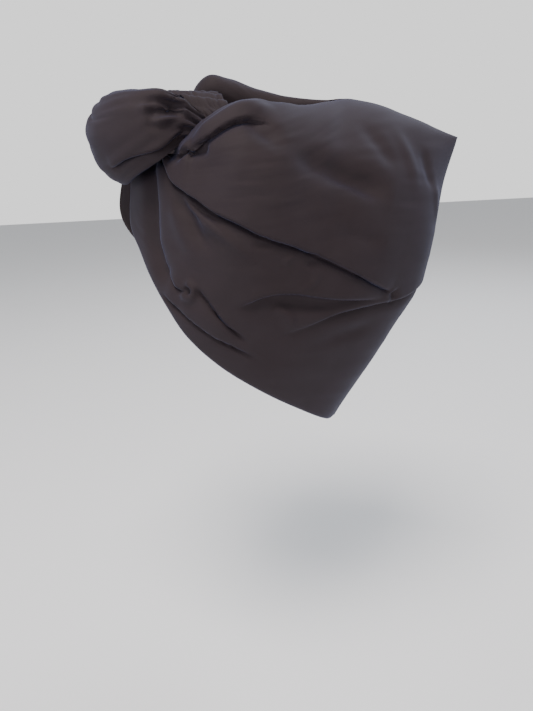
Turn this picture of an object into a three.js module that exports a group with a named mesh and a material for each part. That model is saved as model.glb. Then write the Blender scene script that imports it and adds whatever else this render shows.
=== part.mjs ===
// Turban headwrap: a wide black cotton cloth carried round the head and crossed in a knot
// above the forehead. Every piece is cloth of one thickness and follows a smooth surface.
// Millimetres, +Z up. The crown of the wearer's head is at the origin, the wearer faces -Y
// and the wearer's left is +X.
import * as THREE from 'three';

// ---- cloth ----
const CLOTH = 2.0; // wall of the gathered cloth
const SEAM_X = 0.2; // each panel stops this far from the middle plane
const TUCK = 9; // how far a panel's mouth runs on under the knot
const GATHER = { x: 0, y: -66, z: 4 }; // what the tucked mouth runs towards

// ---- side panels: r runs from the knot (0) to the back seam (1), a from hem (0) to top (1)
const LEFT_HEM = [
  { at: 0.0, x: 3, y: -90, z: -17 },
  { at: 0.1, x: 9, y: -94, z: -50 },
  { at: 0.2, x: 23, y: -88.5, z: -69.5 },
  { at: 0.3, x: 40, y: -82, z: -88 },
  { at: 0.4, x: 56, y: -73, z: -106 },
  { at: 0.5, x: 68, y: -60, z: -128 },
  { at: 0.62, x: 75, y: -38, z: -151 },
  { at: 0.74, x: 74, y: -9, z: -174 },
  { at: 0.85, x: 63, y: 22, z: -197 },
  { at: 0.93, x: 44, y: 52, z: -219 },
  { at: 1.0, x: 0.2, y: 74, z: -238 },
];
const RIGHT_HEM = [
  { at: 0.0, x: 3, y: -95, z: -10 },
  { at: 0.1, x: 10, y: -102, z: -40 },
  { at: 0.2, x: 23, y: -96.5, z: -61 },
  { at: 0.3, x: 41, y: -82, z: -81 },
  { at: 0.4, x: 57, y: -71, z: -103 },
  { at: 0.5, x: 68, y: -60, z: -127 },
  { at: 0.62, x: 75, y: -38, z: -151 },
  { at: 0.74, x: 74, y: -9, z: -174 },
  { at: 0.85, x: 63, y: 22, z: -197 },
  { at: 0.93, x: 44, y: 52, z: -219 },
  { at: 1.0, x: 0.2, y: 74, z: -238 },
];
const LEFT_MOUTH = [
  { at: 0.0, x: 3, y: -90, z: -17 },
  { at: 0.25, x: 20, y: -79, z: -13 },
  { at: 0.5, x: 37, y: -66, z: -6 },
  { at: 0.75, x: 50, y: -51, z: 3 },
  { at: 1.0, x: 50, y: -35, z: 19 },
];
const RIGHT_MOUTH = [
  { at: 0.0, x: 3, y: -95, z: -10 },
  { at: 0.25, x: 20, y: -81, z: -10 },
  { at: 0.5, x: 38, y: -65, z: -4 },
  { at: 0.75, x: 50, y: -51, z: 7 },
  { at: 1.0, x: 49, y: -36, z: 24 },
];
const BACK_SEAM = [
  { at: 0.0, x: 0.2, y: 74, z: -238 },
  { at: 0.1, x: 0.2, y: 90, z: -211 },
  { at: 0.2, x: 0.2, y: 109, z: -181 },
  { at: 0.3, x: 0.2, y: 126.5, z: -152 },
  { at: 0.4, x: 0.2, y: 143, z: -127 },
  { at: 0.5, x: 0.2, y: 152.5, z: -105 },
  { at: 0.62, x: 0.2, y: 158.5, z: -79 },
  { at: 0.74, x: 0.2, y: 162.5, z: -54 },
  { at: 0.87, x: 0.2, y: 168.5, z: -28 },
  { at: 1.0, x: 0.2, y: 181, z: 5 },
];
const LEFT_TOP = [
  { at: 0.0, x: 50, y: -35, z: 19 },
  { at: 0.1, x: 50, y: -20, z: 27 },
  { at: 0.2, x: 49, y: -4, z: 31 },
  { at: 0.32, x: 42, y: 14, z: 30 },
  { at: 0.45, x: 28, y: 40, z: 28.5 },
  { at: 0.56, x: 11, y: 64, z: 33 },
  { at: 0.66, x: 0.2, y: 84, z: 36 },
  { at: 0.76, x: 0.2, y: 112, z: 30 },
  { at: 0.88, x: 0.2, y: 147, z: 17.5 },
  { at: 1.0, x: 0.2, y: 181, z: 5 },
];
const RIGHT_TOP = [
  { at: 0.0, x: 49, y: -36, z: 24 },
  { at: 0.07, x: 43, y: -35, z: 47 },
  { at: 0.15, x: 37, y: -22, z: 59 },
  { at: 0.25, x: 37, y: -3, z: 56 },
  { at: 0.35, x: 35, y: 19, z: 48 },
  { at: 0.46, x: 25, y: 41, z: 41 },
  { at: 0.56, x: 11, y: 64, z: 37 },
  { at: 0.66, x: 0.2, y: 84, z: 36 },
  { at: 0.76, x: 0.2, y: 112, z: 30 },
  { at: 0.88, x: 0.2, y: 147, z: 17.5 },
  { at: 1.0, x: 0.2, y: 181, z: 5 },
];
// The top edge rolls inwards and down into the valley over the crown.
const LEFT_ROLL = [
  { at: 0.0, radius: 5, length: 10 },
  { at: 0.1, radius: 8, length: 24 },
  { at: 0.2, radius: 8, length: 29 },
  { at: 0.32, radius: 8, length: 27 },
  { at: 0.45, radius: 6, length: 22 },
  { at: 0.56, radius: 4, length: 7 },
  { at: 0.62, radius: 3, length: 0 },
  { at: 1.0, radius: 3, length: 0 },
];
const RIGHT_ROLL = [
  { at: 0.0, radius: 6, length: 12 },
  { at: 0.07, radius: 10, length: 42 },
  { at: 0.15, radius: 13, length: 58 },
  { at: 0.25, radius: 14, length: 56 },
  { at: 0.35, radius: 12, length: 49 },
  { at: 0.46, radius: 8, length: 35 },
  { at: 0.56, radius: 4, length: 8 },
  { at: 0.62, radius: 3, length: 0 },
  { at: 1.0, radius: 3, length: 0 },
];
const ROLL_TURN = 1.75; // radians the top edge turns through
const SIDE_BULGE = 48; // how far the cloth stands out from the flat patch
const BULGE_SHAPE = { up: 0.85, down: 0.5, out: 0.75, in: 0.45 };
const PANEL_SPAN = { r: 210, a: 175 }; // rough sizes of the patch, for the folds

// Folds of a side panel. A lap steps out on its upper side; a dent is a soft valley.
const PANEL_FOLDS = [
  { kind: 'lap', width: 12, depth: 3.5, path: [[0.02, 0.6], [0.25, 0.43], [0.59, 0.42], [0.86, 0.38]] },
  { kind: 'dent', width: 8, depth: 5, path: [[0.03, 0.42], [0.1, 0.3], [0.2, 0.17], [0.38, 0.09]] },
  { kind: 'dent', width: 9, depth: 5, path: [[0.03, 0.74], [0.11, 0.83], [0.2, 0.88], [0.36, 0.88]] },
  { kind: 'dent', width: 17, depth: 4, path: [[0.46, 0.8], [0.62, 0.7], [0.8, 0.62]] },
  { kind: 'dent', width: 11, depth: 3, path: [[0.1, 0.42], [0.28, 0.33], [0.45, 0.27]] },
  { kind: 'dent', width: 10, depth: 3, path: [[0.7, 0.18], [0.8, 0.28], [0.92, 0.4]] },
  { kind: 'dent', width: 9, depth: 2.5, path: [[0.43, 0.15], [0.52, 0.12], [0.66, 0.12]] },
  { kind: 'dent', width: 9, depth: -2.5, path: [[0.16, 0.47], [0.3, 0.37], [0.5, 0.33]] },
];

// ---- knot: loops swept round the front; out and up are the half sizes of the section,
// from and to the section's ends in degrees round from straight out.
const OVER_LOOP = [
  { at: 0.0, x: 38, y: -34, z: 15, out: 4, up: 8, from: -90, to: 150 },
  { at: 0.12, x: 39, y: -47, z: 18, out: 6.5, up: 14, from: -60, to: 150 },
  { at: 0.24, x: 43, y: -62, z: 15.5, out: 12, up: 23, from: -62, to: 150 },
  { at: 0.36, x: 29, y: -77, z: 12, out: 22, up: 29, from: -70, to: 150 },
  { at: 0.45, x: 10, y: -86, z: 10, out: 29, up: 33, from: -70, to: 150 },
  { at: 0.54, x: -7, y: -86, z: 16, out: 30, up: 27, from: -28, to: 150 },
  { at: 0.68, x: -28, y: -76, z: 25, out: 22, up: 19, from: -28, to: 150 },
  { at: 0.85, x: -38, y: -57, z: 27, out: 9, up: 12, from: -60, to: 150 },
  { at: 1.0, x: -37, y: -40, z: 22, out: 4, up: 6, from: -90, to: 150 },
];
const UNDER_LOOP = [
  { at: 0.0, x: -36, y: -42, z: 5, out: 4, up: 5, from: -60, to: 80 },
  { at: 0.1, x: -37, y: -50, z: 5, out: 5, up: 7, from: -10, to: 80 },
  { at: 0.19, x: -40, y: -59, z: 4, out: 8, up: 9, from: 10, to: 80 },
  { at: 0.3, x: -41, y: -68, z: 1, out: 12, up: 12, from: -22, to: 75 },
  { at: 0.5, x: -29, y: -82, z: -5, out: 18, up: 15, from: -50, to: 65 },
  { at: 0.75, x: -12, y: -91, z: -7, out: 20, up: 14, from: -50, to: 50 },
  { at: 0.9, x: -3, y: -90, z: -9, out: 14, up: 10, from: -50, to: 50 },
  { at: 1.0, x: 3, y: -88, z: -9, out: 8, up: 7, from: -60, to: 50 },
];
const LOOP_AXIS = { x: 0, y: -40 }; // the loops stand out from this upright line
const FULLNESS = 0.92; // below 1 the section of a loop is fuller than an ellipse
const PLEATS = { count: 7, depth: 1.8 };
const OVER_FOLDS = [
  { kind: 'dent', width: 7, depth: 5, path: [[0.16, 12], [0.26, 18], [0.33, 14]] },
  { kind: 'dent', width: 6, depth: 3, path: [[0.44, 16], [0.52, 10], [0.6, 4]] },
  { kind: 'dent', width: 5, depth: 3, path: [[0.2, -40], [0.32, -48], [0.4, -58]] },
];

// ---- crown panel: lengthwise leaf in the valley between the rolled top edges ----
const CROWN = [
  { at: 0.0, y: -62, left: 24, right: -24, z: 4 },
  { at: 0.15, y: -40, left: 34, right: -30, z: 3.5 },
  { at: 0.36, y: -10, left: 46, right: -30, z: 3 },
  { at: 0.6, y: 22, left: 36, right: -27, z: 3 },
  { at: 0.74, y: 42, left: 23, right: -19, z: 6 },
  { at: 0.88, y: 60, left: 13, right: -12, z: 17 },
  { at: 1.0, y: 76, left: 7, right: -7, z: 25 },
];
const CROWN_PLEATS = { count: 3, depth: 1.6 };

// ---- tucked end: pleated fan from the near gather over to the far roll ----
const END_FRONT = [
  { at: 0.0, x: 35, y: -31, z: 18 },
  { at: 0.3, x: 25, y: -46, z: 34 },
  { at: 0.62, x: 4, y: -57, z: 41 },
  { at: 0.8, x: -10, y: -58, z: 42 },
  { at: 1.0, x: -20, y: -49, z: 29 },
];
const END_BACK = [
  { at: 0.0, x: 36, y: -13, z: 21 },
  { at: 0.3, x: 25, y: -17, z: 32 },
  { at: 0.62, x: 4, y: -19, z: 39 },
  { at: 0.8, x: -8, y: -17, z: 38 },
  { at: 1.0, x: -14, y: -9, z: 24 },
];
const END_PLEATS = { count: 2.6, depth: 2.1 };

// ---- mesh fineness ----
const GRID = {
  panel: { across: 26, up: 23 },
  over: { across: 26, up: 18 },
  under: { across: 12, up: 10 },
  crown: { across: 10, up: 14 },
  end: { across: 12, up: 10 },
};

/** Smooth interpolation of one column of a table whose key column is `at`. */
function column(table, name, at) {
  const last = table.length - 1;
  let i = 0;
  while (i < last - 1 && at > table[i + 1].at) i += 1;
  const slope = (k) => {
    const lo = Math.max(k - 1, 0);
    const hi = Math.min(k + 1, last);
    return (table[hi][name] - table[lo][name]) / (table[hi].at - table[lo].at);
  };
  const h = table[i + 1].at - table[i].at;
  const s = (at - table[i].at) / h;
  const a = (2 * s ** 3 - 3 * s ** 2 + 1) * table[i][name];
  const b = (s ** 3 - 2 * s ** 2 + s) * h * slope(i);
  const c = (-2 * s ** 3 + 3 * s ** 2) * table[i + 1][name];
  const d = (s ** 3 - s ** 2) * h * slope(i + 1);
  return a + b + c + d;
}

/** Point on a rail. */
function rail(table, at) {
  return new THREE.Vector3(column(table, 'x', at), column(table, 'y', at), column(table, 'z', at));
}

/** Hump from 0 at both ends to 1, rising as t^p and falling as (1 - t)^q. */
function hump(t, p, q) {
  const top = p / (p + q);
  const peak = top ** p * (1 - top) ** q;
  return (Math.max(t, 0) ** p * Math.max(1 - t, 0) ** q) / peak;
}

function smooth(lo, hi, x) {
  const t = THREE.MathUtils.clamp((x - lo) / (hi - lo), 0, 1);
  return t * t * (3 - 2 * t);
}

/** Signed distance to a fold's path and how far along it, 0 to 1. */
function alongPath(path, p, scale) {
  let best = { d: Infinity, side: 1, t: 0 };
  const n = path.length - 1;
  for (let i = 0; i < n; i += 1) {
    const ax = path[i][0] * scale.x;
    const ay = path[i][1] * scale.y;
    const bx = path[i + 1][0] * scale.x - ax;
    const by = path[i + 1][1] * scale.y - ay;
    const px = p.x * scale.x - ax;
    const py = p.y * scale.y - ay;
    const t = THREE.MathUtils.clamp((px * bx + py * by) / (bx * bx + by * by), 0, 1);
    const d = Math.hypot(px - t * bx, py - t * by);
    if (d < best.d) best = { d, side: Math.sign(bx * py - by * px) || 1, t: (i + t) / n };
  }
  return best;
}

/** Height of all folds of a table at a surface point. */
function foldHeight(folds, p, scale) {
  let h = 0;
  for (const fold of folds) {
    const near = alongPath(fold.path, p, scale);
    const ends = smooth(0, 0.2, near.t + 0.08) * smooth(0, 0.25, 1.08 - near.t);
    const bell = Math.exp(-((near.d / fold.width) ** 2));
    if (fold.kind === 'dent') h -= fold.depth * bell * ends;
    if (fold.kind === 'lap') h += fold.depth * near.side * Math.min(near.d / 3, 1) * bell * ends;
  }
  return h;
}

/** Moves a surface point out along the surface's own normal. */
function raised(base, u, v, height, flip) {
  const e = 1e-3;
  const du = base(Math.min(u + e, 1), v).sub(base(Math.max(u - e, 0), v));
  const dv = base(u, Math.min(v + e, 1)).sub(base(u, Math.max(v - e, 0)));
  const normal = du.cross(dv).normalize();
  return base(u, v).addScaledVector(normal, flip * height);
}

/** Side panel as a surface of u (round from knot to seam) and v (up from the hem). */
function panelSurface({ hem, mouth, top, roll }) {
  const corner = {
    hemKnot: rail(hem, 0),
    topKnot: rail(top, 0),
    hemBack: rail(hem, 1),
    topBack: rail(top, 1),
  };
  const patch = (r, a) => {
    const p = rail(hem, r).multiplyScalar(1 - a);
    p.addScaledVector(rail(top, r), a);
    p.addScaledVector(rail(mouth, a), 1 - r);
    p.addScaledVector(rail(BACK_SEAM, a), r);
    p.addScaledVector(corner.hemKnot, -(1 - a) * (1 - r));
    p.addScaledVector(corner.topKnot, -a * (1 - r));
    p.addScaledVector(corner.hemBack, -(1 - a) * r);
    p.addScaledVector(corner.topBack, -a * r);
    const s = BULGE_SHAPE;
    p.x += SIDE_BULGE * hump(a, s.up, s.down) * hump(r, s.out, s.in);
    return p;
  };
  const scale = { x: PANEL_SPAN.r, y: PANEL_SPAN.a };
  return (u, v) => {
    const r = closer(u, 0.45);
    const length = Math.max(column(roll, 'length', r), 0);
    const share = PANEL_SPAN.a / (PANEL_SPAN.a + length);
    let point;
    if (v <= share) {
      const a = closer(v / share, 0.55);
      const edges = smooth(0, 0.08, a) * smooth(0, 0.1, 1 - a);
      const ends = smooth(-0.04, 0.3, r) * smooth(0, 0.08, 1 - r);
      const height = foldHeight(PANEL_FOLDS, { x: r, y: a }, scale) * edges * ends;
      point = raised(patch, r, a, height, 1);
    } else {
      const radius = column(roll, 'radius', r);
      const along = ((v - share) / (1 - share)) * length;
      const turn = Math.min(along / radius, ROLL_TURN);
      const rest = along - turn * radius;
      point = patch(r, 1);
      point.x -= radius * Math.sin(turn) + rest * Math.cos(turn);
      point.z -= radius * (1 - Math.cos(turn)) + rest * Math.sin(turn);
    }
    point.x = Math.max(point.x, SEAM_X);
    return point;
  };
}

/** The panel with its mouth carried on under the knot as one more column of points. */
function panelWithMouth(rails) {
  const surface = panelSurface(rails);
  const n = GRID.panel.across;
  return (u, v) => {
    if (u > 0) return surface((u * n - 1) / (n - 1), v);
    const mouth = surface(0, v);
    const pull = new THREE.Vector3(GATHER.x, GATHER.y, GATHER.z).sub(mouth).normalize();
    return mouth.addScaledVector(pull, TUCK * (1 - 0.85 * smooth(0.32, 0.5, v)));
  };
}

/** A loop of the knot: an open sleeve swept round the front. */
function loopSurface(table, folds) {
  const base = (u, v) => {
    const c = rail(table, u);
    const out = new THREE.Vector3(c.x - LOOP_AXIS.x, c.y - LOOP_AXIS.y, 0).normalize();
    const from = column(table, 'from', u);
    const to = column(table, 'to', u);
    const angle = THREE.MathUtils.degToRad(from + (to - from) * v);
    const gather = smooth(0.3, 0.05, Math.min(u, 1 - u));
    const pleat = PLEATS.depth * gather * Math.cos(2 * Math.PI * PLEATS.count * v);
    const full = (t) => Math.sign(t) * Math.abs(t) ** FULLNESS;
    c.addScaledVector(out, (column(table, 'out', u) + pleat) * full(Math.cos(angle)));
    c.z += (column(table, 'up', u) + pleat) * full(Math.sin(angle));
    return c;
  };
  return (u, v) => {
    const from = column(table, 'from', u);
    const degrees = from + (column(table, 'to', u) - from) * v;
    const height = foldHeight(folds, { x: u, y: degrees }, { x: 170, y: 0.5 });
    return raised(base, u, v, height, -1);
  };
}

/** The leaf of cloth over the crown. */
function crownSurface(u, v) {
  const left = column(CROWN, 'left', v);
  const right = column(CROWN, 'right', v);
  const x = right + (left - right) * u;
  const pleat = CROWN_PLEATS.depth * Math.cos(2 * Math.PI * CROWN_PLEATS.count * (u - 0.5));
  const z = column(CROWN, 'z', v) + pleat * smooth(0, 0.2, u) * smooth(0, 0.2, 1 - u);
  return new THREE.Vector3(x, column(CROWN, 'y', v), z);
}

/** The pleated end that lies behind the knot. */
function endSurface(u, v) {
  const front = rail(END_FRONT, u);
  const back = rail(END_BACK, u);
  const open = smooth(-0.1, 0.4, u) * (1 - 0.4 * smooth(0.7, 1, u));
  const pleat = END_PLEATS.depth * open * -Math.cos(2 * Math.PI * END_PLEATS.count * v);
  const p = front.lerp(back, v);
  p.z += pleat;
  return p;
}

/** Spreads the rows so that they lie closer together towards the end. */
function closer(t, amount) {
  return t + amount * t * (1 - t);
}

/** A closed wall of cloth: the surface outside, the same grid moved in by the thickness. */
function clothWall(surface, grid, { mirrored = false, flip = false } = {}) {
  const nu = grid.across;
  const nv = grid.up;
  const at = (i, j) => i * (nv + 1) + j;
  const outer = [];
  for (let i = 0; i <= nu; i += 1) {
    for (let j = 0; j <= nv; j += 1) {
      outer.push(surface(i / nu, j / nv));
    }
  }
  const faces = [];
  for (let i = 0; i < nu; i += 1) {
    for (let j = 0; j < nv; j += 1) {
      const quad = [at(i, j), at(i + 1, j), at(i + 1, j + 1), at(i, j + 1)];
      if (flip) quad.reverse();
      const [a, b, c, d] = quad;
      const across = outer[a].distanceTo(outer[c]) < outer[b].distanceTo(outer[d]);
      if (across) faces.push([a, b, c], [a, c, d]);
      else faces.push([a, b, d], [b, c, d]);
    }
  }
  const normals = outer.map(() => new THREE.Vector3());
  for (const [a, b, c] of faces) {
    const ab = outer[b].clone().sub(outer[a]);
    const ac = outer[c].clone().sub(outer[a]);
    const n = ab.cross(ac);
    for (const k of [a, b, c]) normals[k].add(n);
  }
  const inner = outer.map((p, k) => p.clone().addScaledVector(normals[k].normalize(), -CLOTH));
  const count = outer.length;
  const all = [...outer, ...inner];
  if (surface.limit) all.forEach(surface.limit);
  const index = [];
  const add = (a, b, c) => (mirrored ? index.push(a, c, b) : index.push(a, b, c));
  for (const [a, b, c] of faces) {
    add(a, b, c);
    add(a + count, c + count, b + count);
  }
  const edge = [];
  for (let i = 0; i < nu; i += 1) edge.push([at(i, 0), at(i + 1, 0)]);
  for (let j = 0; j < nv; j += 1) edge.push([at(nu, j), at(nu, j + 1)]);
  for (let i = nu; i > 0; i -= 1) edge.push([at(i, nv), at(i - 1, nv)]);
  for (let j = nv; j > 0; j -= 1) edge.push([at(0, j), at(0, j - 1)]);
  for (const [p, q] of edge) {
    const [a, b] = flip ? [q, p] : [p, q];
    add(a, a + count, b + count);
    add(a, b + count, b);
  }
  const geometry = new THREE.BufferGeometry();
  const sign = mirrored ? -1 : 1;
  const flat = all.flatMap((p) => [sign * p.x, p.y, p.z]);
  geometry.setAttribute('position', new THREE.Float32BufferAttribute(flat, 3));
  geometry.setIndex(index);
  geometry.computeVertexNormals();
  return geometry;
}

/** Keeps a panel's points on their own side of the middle plane. */
function ownSide(surface) {
  const kept = (u, v) => surface(u, v);
  kept.limit = (p) => {
    p.x = Math.max(p.x, SEAM_X);
  };
  return kept;
}

const cotton = new THREE.MeshStandardMaterial({ color: 0x1b191b, roughness: 0.85, metalness: 0 });

function piece(name, geometry) {
  const mesh = new THREE.Mesh(geometry, cotton);
  mesh.name = name;
  return mesh;
}

const LEFT = { hem: LEFT_HEM, mouth: LEFT_MOUTH, top: LEFT_TOP, roll: LEFT_ROLL };
const RIGHT = { hem: RIGHT_HEM, mouth: RIGHT_MOUTH, top: RIGHT_TOP, roll: RIGHT_ROLL };
const leftPanel = ownSide(panelWithMouth(LEFT));
const rightPanel = ownSide(panelWithMouth(RIGHT));

const group = new THREE.Group();
group.name = 'turban_headwrap';
group.add(piece('left_panel', clothWall(leftPanel, GRID.panel)));
group.add(piece('right_panel', clothWall(rightPanel, GRID.panel, { mirrored: true })));
group.add(piece('crown_panel', clothWall(crownSurface, GRID.crown)));
group.add(piece('knot_over_loop', clothWall(loopSurface(OVER_LOOP, OVER_FOLDS), GRID.over, { flip: true })));
group.add(piece('knot_under_loop', clothWall(loopSurface(UNDER_LOOP, []), GRID.under)));
group.add(piece('tucked_end', clothWall(endSurface, GRID.end)));

export default group;
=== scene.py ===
"""Turban headwrap: a wide black cotton cloth carried round the head and knotted in front.

The wrap is made of six pieces of cloth: two side panels that meet along the back and the
top, the leaf of cloth in the valley over the crown, the two loops of the knot, and the
pleated end that lies behind it. Tables are in millimetres and finished meshes in metres.
+Z is up, the wearer faces -Y and the wearer's left is +X.
"""

import logging
import math
from collections.abc import Callable
from dataclasses import dataclass, field
from enum import Enum

import bmesh
import bpy
import numpy as np
from mathutils import Matrix, Vector


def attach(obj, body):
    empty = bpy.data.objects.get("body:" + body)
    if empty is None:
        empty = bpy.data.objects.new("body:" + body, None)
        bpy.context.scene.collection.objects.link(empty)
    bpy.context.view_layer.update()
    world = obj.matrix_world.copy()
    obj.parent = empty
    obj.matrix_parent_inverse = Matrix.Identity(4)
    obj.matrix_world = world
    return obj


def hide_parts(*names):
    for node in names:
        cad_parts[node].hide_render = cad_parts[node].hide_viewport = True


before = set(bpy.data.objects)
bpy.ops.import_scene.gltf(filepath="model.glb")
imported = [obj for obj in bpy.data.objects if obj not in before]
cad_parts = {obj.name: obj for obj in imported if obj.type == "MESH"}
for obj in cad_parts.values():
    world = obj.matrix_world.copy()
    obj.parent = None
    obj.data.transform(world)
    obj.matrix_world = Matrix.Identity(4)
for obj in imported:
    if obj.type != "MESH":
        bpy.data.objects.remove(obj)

LOG = logging.getLogger("turban")
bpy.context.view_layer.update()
MM = 0.001
SEAM_LAP = 0.5  # the panels meet this far into each other at the middle
SEAM_WIDTH = 1.5  # and ease into that lap over about this distance
MIDDLE_GAP = 0.2  # a panel's own surface stops this far from the middle plane
CLOTH = 1.3  # thickness of the gathered cloth as it shows at an edge

Array = np.ndarray


# ---------------------------------------------------------------- smooth tables


@dataclass(frozen=True)
class Curve:
    """Smooth interpolation of a short table whose first column is the key."""

    rows: tuple[tuple[float, ...], ...]

    def __call__(self, at: Array) -> Array:
        """Values of the other columns.

        Args:
            at: keys, of any shape.

        Returns:
            An array of the same shape with one more axis, one entry for each column.
        """
        at = np.asarray(at, float)
        keys = np.array([row[0] for row in self.rows])
        values = np.array([row[1:] for row in self.rows])
        slopes = np.empty_like(values)
        slopes[1:-1] = (values[2:] - values[:-2]) / (keys[2:] - keys[:-2])[:, None]
        slopes[0] = (values[1] - values[0]) / (keys[1] - keys[0])
        slopes[-1] = (values[-1] - values[-2]) / (keys[-1] - keys[-2])
        i = np.clip(np.searchsorted(keys, at, side="right") - 1, 0, len(keys) - 2)
        h = (keys[i + 1] - keys[i])[..., None]
        s = (at - keys[i])[..., None] / h
        return (
            (2 * s**3 - 3 * s**2 + 1) * values[i]
            + (s**3 - 2 * s**2 + s) * h * slopes[i]
            + (3 * s**2 - 2 * s**3) * values[i + 1]
            + (s**3 - s**2) * h * slopes[i + 1]
        )

    def column(self, at: Array, index: int) -> Array:
        """One column of the table at some keys."""
        return self(at)[..., index]


def smooth(low: float, high: float, x: Array) -> Array:
    """Smooth step from 0 at low to 1 at high."""
    t = np.clip((np.asarray(x, float) - low) / (high - low), 0, 1)
    return t * t * (3 - 2 * t)


def hump(t: Array, rise: float, fall: float) -> Array:
    """Hump from 0 at both ends to 1, rising as t**rise and falling as (1 - t)**fall."""
    top = rise / (rise + fall)
    peak = top**rise * (1 - top) ** fall
    return np.clip(t, 0, 1) ** rise * np.clip(1 - t, 0, 1) ** fall / peak


def unit(vectors: Array) -> Array:
    """Vectors scaled to length 1 along the last axis."""
    return vectors / np.maximum(np.linalg.norm(vectors, axis=-1, keepdims=True), 1e-9)


# ---------------------------------------------------------------- folds in cloth


class FoldKind(Enum):
    """How the cloth moves at a fold."""

    DENT = "a valley"
    RIDGE = "a raised line"
    LAP = "cloth on one side hangs over the other"


@dataclass(frozen=True)
class Fold:
    """A fold along a path over a piece, in the piece's own two coordinates.

    Width and depth are in millimetres. On a lap, the side to the left of the path lies
    on top and reaches over the line by over millimetres, and slit is how deep the cloth
    dips right under the line. Fade is the share of the path over which the fold dies out
    at its start and at its end.
    """

    kind: FoldKind
    width: float
    depth: float
    path: tuple[tuple[float, float], ...]
    over: float = 1.5
    slit: float = 3.5
    fade: tuple[float, float] = (0.15, 0.3)


@dataclass(frozen=True)
class Rumple:
    """Small irregular waves over a piece, longer along the first coordinate."""

    height: float
    along: float
    across: float
    seed: int
    waves: int = 14

    def __call__(self, first: Array, second: Array) -> Array:
        """Height of the waves in millimetres.

        Args:
            first: distance along the piece in millimetres.
            second: distance across the piece in millimetres.

        Returns:
            Heights of the same shape.
        """
        rng = np.random.default_rng(self.seed)
        total = np.zeros_like(first)
        for _ in range(self.waves):
            k1 = rng.normal() * 2 * math.pi / self.along
            k2 = rng.normal() * 2 * math.pi / self.across
            total += np.sin(k1 * first + k2 * second + rng.uniform(0, 2 * math.pi))
        calm = total / math.sqrt(self.waves / 2)
        return self.height * calm


@dataclass
class ClothGrid:
    """A grid of points on a piece of cloth, with the two coordinates of each point."""

    points: Array
    first: Array
    second: Array
    scale: tuple[float, float]
    turn: float = 1.0
    softness: float = 0.9
    slit_width: float = 1.5
    path_steps: int = 48
    swell: float = 0.45  # share of a lap's depth by which its upper side rises
    sink: float = 0.75  # share of a lap's depth by which its lower side dips
    sink_width: float = 0.55  # width of that dip as a share of the lap's

    def normals(self) -> Array:
        """Unit normals on the outer side."""
        across = np.gradient(self.points, axis=0)
        up = np.gradient(self.points, axis=1)
        return self.turn * unit(np.cross(across, up))

    def lift(self, height: Array) -> None:
        """Moves each point out along its normal by a height in millimetres."""
        self.points = self.points + self.normals() * height[..., None]

    def crease(self, fold: Fold, surface: Callable[[Array, Array], Array]) -> None:
        """Presses one fold into the cloth.

        Args:
            fold: the fold.
            surface: the piece's smooth surface as a function of its two coordinates.
        """
        rows = np.array(fold.path)
        keys = np.linspace(0, 1, len(rows))
        table = Curve(tuple((k, *row) for k, row in zip(keys, rows)))
        line = table(np.linspace(0, 1, self.path_steps))
        places = surface(line[:, 0], line[:, 1])
        step = np.linalg.norm(np.diff(places, axis=0), axis=1)
        reach = np.concatenate([[0], np.cumsum(step)]) / max(step.sum(), 1e-6)
        flat = self.points.reshape(-1, 3)
        far = 4 * fold.width + 2
        close = np.all((flat > places.min(0) - far) & (flat < places.max(0) + far), axis=1)
        flat = flat[close]
        best = np.full(len(flat), np.inf)
        share = np.zeros(len(flat))
        near = np.zeros((len(flat), 2))
        way = np.zeros((len(flat), 2))
        for i in range(len(places) - 1):
            edge = places[i + 1] - places[i]
            t = np.clip((flat - places[i]) @ edge / max(edge @ edge, 1e-9), 0, 1)
            away = np.linalg.norm(flat - places[i] - t[:, None] * edge, axis=1)
            closer = away < best
            best[closer] = away[closer]
            share[closer] = reach[i] + t[closer] * (reach[i + 1] - reach[i])
            near[closer] = line[i] + t[closer, None] * (line[i + 1] - line[i])
            way[closer] = line[i + 1] - line[i]
        above = (self.second.reshape(-1)[close] - near[:, 1]) * self.scale[1]
        along = (self.first.reshape(-1)[close] - near[:, 0]) * self.scale[0]
        cross = way[:, 0] * self.scale[0] * above - way[:, 1] * self.scale[1] * along
        fade = smooth(0, max(fold.fade[0], 1e-3), share + 0.02)
        fade = fade * smooth(0, max(fold.fade[1], 1e-3), 1.02 - share)
        bell = np.exp(-((best / fold.width) ** 2)) * fade
        height = np.zeros(self.first.size)
        slide = np.zeros(self.first.size)
        if fold.kind is FoldKind.DENT:
            height[close] = -fold.depth * bell
        elif fold.kind is FoldKind.RIDGE:
            height[close] = fold.depth * bell
        else:
            on_top = 0.5 * (1 + np.tanh(np.where(cross >= 0, best, -best) / self.softness))
            under = np.exp(-((best / (self.sink_width * fold.width)) ** 2)) * fade
            slit = fold.slit * np.exp(-((best / self.slit_width) ** 2)) * fade
            rise = self.swell * on_top * bell
            dip = self.sink * (1 - on_top) * under
            height[close] = fold.depth * (rise - dip) - slit
            slide[close] = np.sign(way[:, 0]) * fold.over * on_top * bell
        down = -unit(np.gradient(self.points, axis=1)) * slide.reshape(self.first.shape)[..., None]
        self.lift(height.reshape(self.first.shape))
        self.points = self.points + down


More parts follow.
